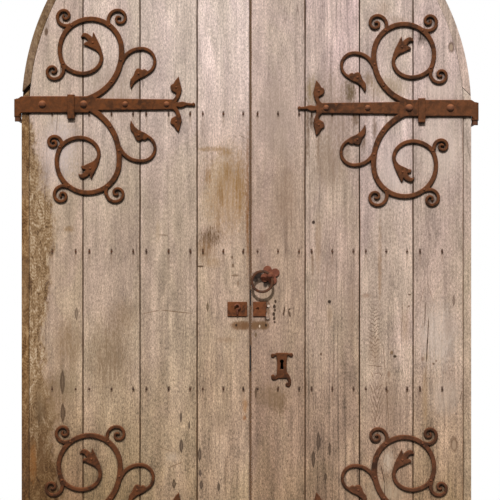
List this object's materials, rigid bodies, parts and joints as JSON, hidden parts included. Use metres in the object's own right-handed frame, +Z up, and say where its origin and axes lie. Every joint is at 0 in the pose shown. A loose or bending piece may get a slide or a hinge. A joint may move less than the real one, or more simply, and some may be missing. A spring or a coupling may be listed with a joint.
{
  "type": "arched double door",
  "caption": "Pair of arched oak plank doors hung on scrolled wrought-iron strap hinges, with pull ring, keyhole plate and rim lock",
  "frame": {"origin": "on the ground under the middle of the pair, half way between the front of the ring eye and the back ends of the jamb shanks", "axes": "+X along the doorway to the viewer's right, +Y into the building away from the viewer, +Z up"},
  "size_m": [1.535, 0.129, 2.6006],
  "materials": {
    "oak": "bare weathered oak, silver grey to pinkish tan, open grain",
    "edge_oak": "bare oak, brown with rot at the edges",
    "wrought_iron": "hammered wrought iron, dry dark rust",
    "rusty_iron": "plate iron, red-brown rust",
    "old_steel": "bare steel, dull and worn"
  },
  "bodies": {
    "jamb_hooks": {"upper_left_pintle": "wrought_iron", "upper_right_pintle": "wrought_iron", "lower_left_pintle": "wrought_iron", "lower_right_pintle": "wrought_iron"},
    "left_leaf": {"left_board_1": "oak", "left_board_2": "oak", "left_board_3": "oak", "left_board_4": "oak", "left_edge_strip": "edge_oak", "left_arch_strip": "edge_oak", "left_ledge_1": "edge_oak", "left_ledge_2": "edge_oak", "left_ledge_3": "edge_oak", "left_ledge_4": "edge_oak", "left_ledge_5": "edge_oak", "left_nails": "wrought_iron", "upper_left_hinge": "wrought_iron", "upper_left_collar": "wrought_iron", "upper_left_bolts": "wrought_iron", "upper_left_rivets": "wrought_iron", "lower_left_hinge": "wrought_iron", "lower_left_collar": "wrought_iron", "lower_left_bolts": "wrought_iron", "lower_left_rivets": "wrought_iron", "left_hasp_plate": "rusty_iron", "hasp_staple": "wrought_iron", "lock_keep": "wrought_iron"},
    "right_leaf": {"right_board_1": "oak", "right_board_2": "oak", "right_board_3": "oak", "right_board_4": "oak", "right_edge_strip": "edge_oak", "right_arch_strip": "edge_oak", "right_ledge_1": "edge_oak", "right_ledge_2": "edge_oak", "right_ledge_3": "edge_oak", "right_ledge_4": "edge_oak", "right_ledge_5": "edge_oak", "right_nails": "wrought_iron", "upper_right_hinge": "wrought_iron", "upper_right_collar": "wrought_iron", "upper_right_bolts": "wrought_iron", "upper_right_rivets": "wrought_iron", "lower_right_hinge": "wrought_iron", "lower_right_collar": "wrought_iron", "lower_right_bolts": "wrought_iron", "lower_right_rivets": "wrought_iron", "ring_rosette": "rusty_iron", "ring_boss": "rusty_iron", "ring_rove": "rusty_iron", "keyhole_plate": "rusty_iron", "right_hasp_plate": "rusty_iron", "hasp_screws": "old_steel", "lock_case": "wrought_iron"},
    "ring": {"pull_ring": "wrought_iron"},
    "lock_bar": {"lock_bolt": "old_steel"}
  },
  "joints": [
    {"name": "left_leaf_swing", "type": "hinge", "parent": "jamb_hooks", "child": "left_leaf", "pos_m": [-0.7555, -0.0155, 0], "axis": [0, 0, -1], "range_deg": [0, 100]},
    {"name": "right_leaf_swing", "type": "hinge", "parent": "jamb_hooks", "child": "right_leaf", "pos_m": [0.7555, -0.0155, 0], "axis": [0, 0, 1], "range_deg": [0, 100]},
    {"name": "ring_swing", "type": "hinge", "parent": "right_leaf", "child": "ring", "pos_m": [0.078, -0.0535, 1.237], "axis": [-0.6157, 0, 0.788], "range_deg": [-15, 120]},
    {"name": "bolt_slide", "type": "slide", "parent": "right_leaf", "child": "lock_bar", "axis": [-1, 0, 0], "range_m": [0, 0.04]}
  ]
}
